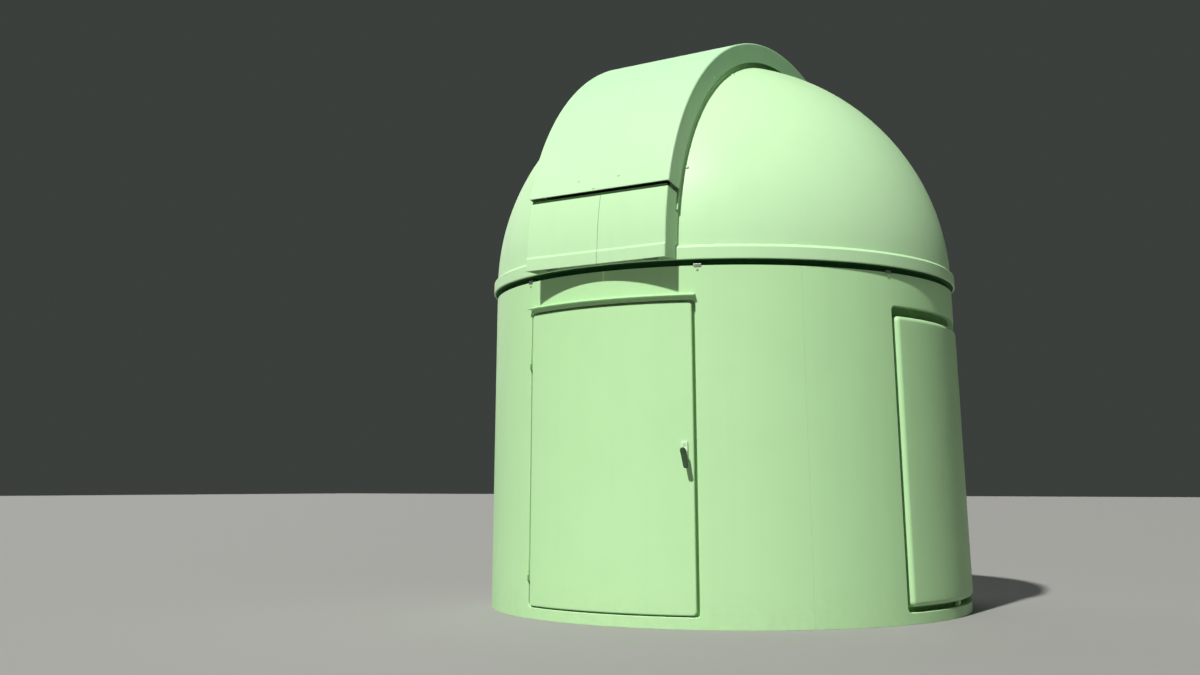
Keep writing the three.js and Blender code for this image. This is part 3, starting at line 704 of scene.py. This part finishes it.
# Dome shell
def side_shell(name, sign, node_name):
    """The dome's moulding beside the slot, in level rows.

    They run from the slot's plane at the front, round the side, to the same plane at the rear.
    """
    base = SHELL_FOOT - DOME_Z
    rows, columns = 60, 96
    verts, faces = [], []
    for radius in (DOME_R, DOME_R - SKIN):
        low = math.asin(base / radius)
        high = math.acos(SLOT_HALF / radius)
        for i in range(rows):
            rise = low + (high - low) * i / rows
            level = radius * math.cos(rise)
            z = DOME_Z + radius * math.sin(rise)
            first = math.asin(SLOT_HALF / level)
            for j in range(columns + 1):
                bearing = first + (math.pi - 2 * first) * j / columns
                verts.append((sign * level * math.sin(bearing), -level * math.cos(bearing), z))
        verts.append((sign * SLOT_HALF, 0, DOME_Z + radius * math.sin(high)))
    wide = columns + 1
    inner = rows * wide + 1
    for start in (0, inner):
        for i in range(rows - 1):
            for j in range(columns):
                a = start + i * wide + j
                faces.append((a, a + 1, a + wide + 1, a + wide))
        top = start + rows * wide
        last = start + (rows - 1) * wide
        faces += [(last + j, last + j + 1, top) for j in range(columns)]
    for j in range(columns):
        faces.append((j, j + 1, inner + j + 1, inner + j))
    for i in range(rows - 1):
        for j in (0, columns):
            a = i * wide + j
            faces.append((a, a + wide, inner + a + wide, inner + a))
    last = (rows - 1) * wide
    for j in (0, columns):
        faces.append((last + j, rows * wide, inner + rows * wide, inner + last + j))
    return piece(name, verts, faces, GREEN_DOME, "dome", [node_name])


def middle_shell(name, start, end, node_name):
    """The dome's moulding between the slot's planes. A start or end of None is its base."""
    base = SHELL_FOOT - DOME_Z
    half = SLOT_HALF - SHELL_GAP
    columns, row_step = 40, 1.5
    rows = max(2, round(abs((end or 180) - (start or 0)) / row_step))
    verts, faces = [], []
    for radius in (DOME_R, DOME_R - SKIN):
        for j in range(columns + 1):
            u = -half + 2 * half * j / columns
            r = math.sqrt(radius**2 - u**2)
            low = math.asin(base / r)
            first = low if start is None else math.radians(start)
            last = math.pi - low if end is None else math.radians(end)
            verts += [arc_point(u, r, first + (last - first) * i / rows) for i in range(rows + 1)]
    tall = rows + 1
    inner = (columns + 1) * tall
    for start_index in (0, inner):
        for j in range(columns):
            for i in range(rows):
                a = start_index + j * tall + i
                faces.append((a, a + 1, a + tall + 1, a + tall))
    for j in range(columns):
        for i in (0, rows):
            a = j * tall + i
            faces.append((a, a + tall, inner + a + tall, inner + a))
    for i in range(rows):
        for j in (0, columns):
            a = j * tall + i
            faces.append((a, a + 1, inner + a + 1, inner + a))
    return piece(name, verts, faces, GREEN_DOME, "dome", [node_name])


for sign, side in SIDES:
    side_shell("dome_moulding_" + side, sign, "dome_shell_" + side)
middle_shell("dome_moulding_rear", REAR_SHELL_START, None, "dome_shell_rear")
middle_shell("dome_sill", None, FRONT_SILL_END, "dome_front_sill")

# Rails: a web on the shell with a top flange and an inner lip, and a dark strip round the flange's edge and
# down the web: painted shade under the hood's side, darker towards the top
rail_mid = (SLOT_HALF + RAIL_WEB) / 2
foot_in, foot_mid, foot_out = (math.sqrt(DOME_R**2 - u**2) - 1 for u in (SLOT_HALF, rail_mid, RAIL_WEB))
rail = [
    (SLOT_HALF, foot_in, 0),
    (rail_mid, foot_mid, 0),
    (RAIL_WEB, foot_out, 0),
    (RAIL_WEB, RAIL_TOP - SKIN, 2),
    (RAIL_HALF, RAIL_TOP - SKIN, 2),
    (RAIL_HALF, RAIL_TOP, 2),
    (SLOT_HALF + SKIN, RAIL_TOP, 2),
    (SLOT_HALF + SKIN, RAIL_LIP, 1.5),
    (SLOT_HALF, RAIL_LIP, 1.5),
]
shade_strip_under, shade_strip_inside, shade_strip_top = RAIL_TOP - SKIN - 1.8, RAIL_TOP - SKIN + 0.6, RAIL_TOP - 0.4
rail_shade_strip = [
    (RAIL_WEB - 1, foot_out, 0),
    (RAIL_WEB + 1.6, foot_out, 0),
    (RAIL_WEB + 1.6, shade_strip_under, 0),
    (RAIL_HALF + 1.4, shade_strip_under, 1),
    (RAIL_HALF + 1.4, shade_strip_top, 1),
    (RAIL_HALF - 1, shade_strip_top, 0),
    (RAIL_HALF - 1, shade_strip_inside, 0),
    (RAIL_WEB - 1, shade_strip_inside, 0),
]
for sign, side in SIDES:
    rail_node = ["slot_rail_" + side]
    outline = rounded(mirrored(rail, sign))
    swept("rail_" + side, outline, RAIL_START, RAIL_END, GREEN_DOME, rail_node, round_ends=3)
    outline = rounded(mirrored(rail_shade_strip, sign), 2)
    swept("rail_shade_strip_" + side, outline, RAIL_START + 0.1, RAIL_END - 0.1, RAIL_SHADE, (), slot="dark")

# Main shutter: the hood, and the plate and lip that close its rear end
inner_half = COVER_HALF - SKIN
side_foot = RAIL_TOP + 0.7
hood = rounded(
    [
        (-COVER_HALF, side_foot, 2),
        (-COVER_HALF, COVER_R, 8),
        (COVER_HALF, COVER_R, 8),
        (COVER_HALF, side_foot, 2),
        (inner_half, side_foot, 2),
        (inner_half, COVER_R - SKIN, 4),
        (-inner_half, COVER_R - SKIN, 4),
        (-inner_half, side_foot, 2),
    ],
    5,
)
hood_nodes = ["main_shutter_cover", "main_shutter_side_right", "main_shutter_side_left"]
plate_half, lip_half = inner_half - 0.2, COVER_HALF - 16
end_plate = rounded(oblong(-plate_half, 1126, plate_half, 1157.4, 3, 3, 2, 2), 2)
end_lip = rounded(oblong(-lip_half, 1162, lip_half, 1178, 0, 0, 5, 5), 4)


def shutter_part(name, outline, start, end, nodes=(), step=0.2, round_ends=1.5):
    swept(name, outline, start, end, GREEN_TOP, nodes, "shutter", "shutter_gelcoat", step, round_ends)


shutter_part("shutter_hood", hood, COVER_START, COVER_END, hood_nodes, step=1.25, round_ends=2)
shutter_part("shutter_end_plate", end_plate, COVER_END - 0.4, COVER_END - 0.04)
shutter_part("shutter_end_lip", end_lip, COVER_END - 0.5, COVER_END - 0.02)


# Flap
def flap_half(sign):
    """Half of the flap, on one side of its seam: level rows up the band, its bead, and turned rows above.

    A row is a rise, a level from the dome's centre, the radii of the face and the side's back, and an inset.
    """
    seam = FLAP_SEAM + sign * SEAM_HALF
    foot = RING_FOOT - DOME_Z
    rows = [(0, foot, FLAP_BAND, BAND_BACK, 1.4), (0, foot + 0.8, FLAP_BAND, BAND_BACK, 0.4)]
    rows += [(0, z - DOME_Z, FLAP_BAND, BAND_BACK, 0) for z in (1443, 1460, 1480, 1489)]
    bead = ((0.15, 1158), (0.22, 1157.6), (0.32, 1156.4), (0.45, 1154.4), (0.6, 1153.2), (0.8, FLAP_R))
    rows += [(rise, 0, face, BAND_BACK if rise < 0.79 else SIDE_BACK, 0) for rise, face in bead]
    rows += [(rise, 0, FLAP_R, SIDE_BACK, 0) for rise in (1.5, 2.5, 3.5, 4.5, 5.5, 6.5, 7.5, 8.38)]
    rows += [(rise, 0, FLAP_R, OVER_RAIL, 0) for rise in (8.42, 9.4, 10.4, 11.5, 12.6)]
    rows += [(FLAP_END - 0.04, 0, FLAP_R, OVER_RAIL, 0.5), (FLAP_END, 0, FLAP_R, OVER_RAIL, 1.5)]
    loops = []
    for rise, level, face, back, inset in rows:
        corners = [
            (seam, face, 1),
            (sign * FLAP_HALF, face, 7),
            (sign * FLAP_HALF, back, 0),
            (sign * (FLAP_HALF - SKIN), back, 0),
            (sign * (FLAP_HALF - SKIN), face - SKIN, 2),
            (seam, face - SKIN, 1),
        ]
        outline = rounded(corners, 5)
        if inset:
            outline = shrunk(outline, inset)
        angle = math.radians(rise)
        loops.append([(u, -r * math.cos(angle), DOME_Z + level + r * math.sin(angle)) for u, r in outline])
    return lofted(loops)


flap_nodes = {"right": ["lower_flap_face", "lower_flap_side_right"], "left": ["lower_flap_side_left"]}
for sign, side in SIDES:
    piece("flap_moulding_" + side, *flap_half(sign), GREEN_FLAP, "flap", flap_nodes[side], "shutter_gelcoat")
# A dark strip on the flap's top edge: painted shade in the gap below the hood
gap_shade_half = FLAP_HALF - SKIN - 0.5
flap_gap_shade = rounded(oblong(-gap_shade_half, 1143, gap_shade_half, 1151, 3, 3, 4, 4), 3)
swept("flap_gap_shade", flap_gap_shade, FLAP_END - 0.15, FLAP_END + 0.6, FLAP_GAP_SHADE, (), "flap", "dark", step=0.2)


def across_at(u0):
    """Turns (distance forward, height, depth across) to a point."""
    return lambda s, z, depth: (u0 + depth, -s, z)


# Arms from the flap's face to its hinge pins, with two screws each
ARM_HALF = 14
arm = rounded([(1152.5, 1444, 2), (1152.5, 1462, 2), (1136, 1459.5, 3), (1136, 1446.5, 3)], 3)
web = rounded([(1138, 1448, 1), (1138, 1458, 1), (1131, 1458, 1), (1131, 1448, 1)], 2)
barrel = [(4.6, 0), (6, 1.2), (6, 2 * ARM_HALF - 1.2), (4.6, 2 * ARM_HALF)]
arms = Shells()
for u in FLAP_HINGES:
    arms.prism(arm, across_at(u), -ARM_HALF, ARM_HALF)
    arms.stud((u - ARM_HALF, -FLAP_PIN_R, FLAP_PIN_Z), (1, 0, 0), barrel, 24)
    arms.prism(web, across_at(u), 1 - ARM_HALF, ARM_HALF - 1)
    for offset in (-8, 8):
        arms.screw((u + offset, -1152.2, 1470), (0, 1, 0), 3.5, 1.8)
arms.make("flap_arms", STEEL, "flap", slot="steel")

# Small fittings of the main shutter and of the dome beside its rails. A screw on the cover is its distance
# across, its rise, and its head's radius and height.
COVER_SCREWS = ((-102, 16.6, 6, 3), (102, 16.6, 6, 3), (-18, 14.4, 7, 4))
SIDE_SCREW_R, SIDE_SCREWS = 1092, (22, 50, 78, 104)
CAP_OFFSET, CAP_RISES = 6, (20.3, 60, 100, 140)

heads = Shells()
for u, rise, radius, height in COVER_SCREWS:
    angle = math.radians(rise)
    heads.screw(arc_point(u, COVER_R, angle), (0, -math.cos(angle), math.sin(angle)), radius, height)
for sign in (-1, 1):
    for rise in SIDE_SCREWS:
        heads.screw(arc_point(sign * COVER_HALF, SIDE_SCREW_R, math.radians(rise)), (sign, 0, 0), 5, 2)
heads.make("shutter_screws", GREEN_TOP, "shutter", slot="shutter_gelcoat")

caps = Shells()
for sign in (-1, 1):
    for rise in CAP_RISES:
        u = sign * (RAIL_HALF + CAP_OFFSET)
        at = Vector(arc_point(u, math.sqrt(DOME_R**2 - u**2), math.radians(rise)))
        caps.screw(tuple(at), at - Vector((0, 0, DOME_Z)), 8, 6)
caps.make("rail_foot_caps", GREEN_DOME, "dome")


def on_wall(bearing, radius, height):
    """Turns (across, up, inward) about a place on the wall to a point."""
    c, s = math.cos(math.radians(bearing)), math.sin(math.radians(bearing))

    def place(across, up, inward):
        y = inward - radius
        return (c * across - s * y, s * across + c * y, height + up)

    return place


def upright(bearing):
    """Turns (radius, height, across) on a bearing to a point."""
    place = on_wall(bearing, 0, 0)
    return lambda r, z, across: place(across, z, -r)


# Door hinges: a strap with its knuckle on the jamb, another on the leaf's edge, and the pin's foot below them
def hinge_half(side, foot, low, high):
    """One strap of a hinge with its neck and its knuckle, which runs between two heights."""
    made = Shells()
    place = on_wall(HINGE_DEG, HINGE_R, 0)
    across_strap = side * STRAP_PLACE
    head = foot + HINGE_HEIGHT

    def edgewise(inward, up, across):
        return place(across, up, inward)

    strap = [(4.3, foot, 0), (STRAP_REACH, foot, 3), (STRAP_REACH, head, 3), (4.3, head, 0)]
    made.prism(rounded(strap, 3), edgewise, across_strap - 1, across_strap + 1, soft=0.3, steps=1)
    neck = rounded(oblong(1, low + 1, 7, high - 1, 0))
    made.prism(neck, edgewise, across_strap - 0.7, across_strap + 0.7, soft=0.2, steps=1)
    knuckle = [(3.2, low), (4, low + 0.8), (4, high - 0.8), (3.2, high)]
    made.stud(place(0, 0, 0), (0, 0, 1), knuckle)
    return made


pin_profile = [(2.6, 0), (3.7, 1.2), (4.2, 3), (4.2, HINGE_PIN - 1), (3.6, HINGE_PIN - 0.2)]
for which, foot in HINGE_FEET.items():
    middle, head = foot + HINGE_HEIGHT / 2, foot + HINGE_HEIGHT
    jamb = hinge_half(-1, foot, foot + HINGE_PIN, middle - HINGE_GAP)
    jamb.make(f"hinge_{which}_jamb", GREEN, "walls", [f"door_hinge_{which}_jamb"], "steel")
    strap = hinge_half(1, foot, middle + HINGE_GAP, head)
    strap.make(f"hinge_{which}_strap", GREEN, "door", [f"door_hinge_{which}_leaf"], "steel")
    # The pin's foot is a real part; its dark colour also stands in for the shade under the hinge: painted
    # shade
    pin = Shells()
    pin.stud(on_wall(HINGE_DEG, HINGE_R, foot)(0, 0, 0), (0, 0, 1), pin_profile)
    pin.make(f"hinge_{which}_pin", DIM, "walls", slot="dark")

# Lock plate, its cylinder, and the handle with its rounded grip
at_handle = on_wall(HANDLE_DEG, WALL_R, HANDLE_Z)
out_of_door = tuple(Vector(at_handle(0, 0, -1)) - Vector(at_handle(0, 0, 0)))


def from_face(across, up, out):
    return at_handle(across, up, -out)


def along_grip(across, up, out):
    c, s = math.cos(math.radians(GRIP_TILT)), math.sin(math.radians(GRIP_TILT))
    return from_face(across * c - up * s, across * s + up * c, out)


plate = Shells()
plate.prism(rounded(oblong(-14, -24, 14, 40, 7), 5), from_face, 0.1, 8, soft=3, steps=3)
plate.stud(from_face(0, 0, 7), out_of_door, [(13, 0), (13, 2.2), (12, 3.3), (9.6, 3.5)], 32)
plate.stud(from_face(0, LOCK_UP, 7.5), out_of_door, [(8, 0), (8, 1.6), (7.2, 2.2)], 28)
plate.make("lock_escutcheon", ENAMEL, "door", ["door_lock_plate"], "steel")
keyway = Shells()
keyhole = rounded(oblong(-0.9, LOCK_UP - 4.5, 0.9, LOCK_UP + 4.5, 0.5))
keyway.prism(keyhole, from_face, 9, 9.9, soft=0.2, steps=1)
keyway.make("lock_keyway", DARK, "door", slot="dark")

handle = Shells()
handle.stud(from_face(0, 0, 11), out_of_door, [(8.2, 0), (9, 0.8), (9, 10), (8, 14), (8, 34)], 32)
grip = [(-10, -68, 9.5), (10, -68, 9.5), (10.5, -30, 30), (12, 14, 11.5), (-12, 14, 11.5), (-10.5, -30, 30)]
handle.prism(rounded(grip, 6), along_grip, 32, 44, soft=4, steps=4)
handle.make("handle_grip", GRIP, "handle", ["door_handle"], "dark")

# Roller brackets hooked over the wall's top edge: a bright tab in the gap and the head of its bolt
tab = rounded(
    [
        (1087, 1416.8, 1),
        (1100.2, 1416.8, 0),
        (1100.2, 1411, 0.5),
        (1102.4, 1411, 1),
        (1102.4, 1424.5, 2),
        (1097, 1427, 2),
        (1087, 1427, 1),
    ],
    3,
)
tabs, heads = Shells(), Shells()
for k in range(ROLLERS):
    bearing = ROLLER_START + 360 / ROLLERS * k
    tabs.prism(tab, upright(bearing), -16, 16)
    heads.bolt(upright(bearing)(1100.1, 1400, 0), polar(1, math.radians(bearing), 0), 3.5, 4)
tabs.make("roller_tabs", STEEL, "walls", slot="steel")
heads.make("roller_bolts", BOLT_PAINT, "walls", slot="dark")

# Retaining clips under the blank panels, with a screw each
wedge = [(1074, 45.1, 0), (1090, 45.1, 2), (1098, 54, 2), (1100, 70, 2), (1096, 73, 2), (1084, 62, 1)]
clips, screws = Shells(), Shells()
for _, bearing in BLANK_BAYS:
    clips.prism(rounded(wedge, 3), upright(bearing), -9, 9, soft=1)
    screws.screw(upright(bearing)(1098.8, 62, 0), polar(1, math.radians(bearing), 0), 4, 2.4)
clips.make("panel_clips", GREEN, "walls")
screws.make("panel_clip_screws", STEEL, "walls", slot="steel")

# Bolts through the upright fins between the wall's quarters, inside
BOLT_R, FIN_HALF = 1072, 6.1
bolts = Shells()
for seam in SEAM_BEARINGS:
    for height in SEAM_BOLT_HEIGHTS:
        for side in (-1, 1):
            axis = Vector(on_wall(seam, 0, 0)(side, 0, 0))
            bolts.bolt(on_wall(seam, BOLT_R, height)(side * FIN_HALF, 0, 0), axis)
bolts.make("wall_seam_bolts", STEEL, "walls", slot="steel")

# Solids that no piece replaces keep their shape and take a finish
for name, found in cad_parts.items():
    look = STEEL if "hinge" in name or "lock" in name else DARK if "handle" in name else GREEN
    for slot in found.material_slots:
        slot.material = look

# Floor and world
floor_mesh = bpy.data.meshes.new("studio_floor")
corners = [(x * FLOOR_REACH, y * FLOOR_REACH, 0) for x, y in ((-1, -1), (1, -1), (1, 1), (-1, 1))]
floor_mesh.from_pydata(corners, [], [(0, 1, 2, 3)])
floor = bpy.data.objects.new("studio_floor", floor_mesh)
bpy.context.scene.collection.objects.link(floor)
floor_mesh.materials.append(material("pale_floor", (0.25, 0.25, 0.24), 0.85)[0])

world = bpy.data.worlds.new("studio_world")
bpy.context.scene.world = world
world.use_nodes = True
background = world.node_tree.nodes["Background"]
background.inputs["Color"].default_value = (0.88, 1.0, 0.92, 1)
background.inputs["Strength"].default_value = 0.05


# Lights and camera
def aimed(name, data, direction, axis):
    """A light or camera object whose own axis, such as -Z, points along a direction."""
    made = bpy.data.objects.new(name, data)
    made.rotation_mode = "QUATERNION"
    made.rotation_quaternion = direction.to_track_quat(axis, "Y")
    bpy.context.scene.collection.objects.link(made)
    return made


def sun(name, bearing, height, strength, angle, colour=(1, 1, 1)):
    lamp = bpy.data.lights.new(name, "SUN")
    lamp.energy = strength
    lamp.angle = math.radians(angle)
    lamp.color = colour
    b, h = math.radians(bearing), math.radians(height)
    aimed(name, lamp, Vector((math.sin(b) * math.cos(h), -math.cos(b) * math.cos(h), math.sin(h))), "Z")


sun("key_light", bearing=1, height=49.5, strength=5.2, angle=2, colour=(1, 0.985, 0.96))
sun("back_fill", bearing=238, height=32, strength=0.7, angle=60)

panel_light = bpy.data.lights.new("side_softbox", "AREA")
panel_light.shape = "SQUARE"
panel_light.size = 2.4
panel_light.energy = 16
panel_light.color = (0.90, 1.0, 1.0)
aimed("side_softbox", panel_light, SOFTBOX_PLACE - SOFTBOX_AIM, "Z").location = SOFTBOX_PLACE

camera_data = bpy.data.cameras.new("camera")
camera_data.sensor_width = SENSOR
camera_data.lens = LENS
camera_data.shift_y = LENS_SHIFT
camera_data.clip_start, camera_data.clip_end = 0.05, 200
camera = aimed("camera", camera_data, CAMERA_LOOK, "-Z")
camera.location = CAMERA_PLACE
bpy.context.scene.camera = camera
bpy.context.scene.view_settings.view_transform = "Standard"
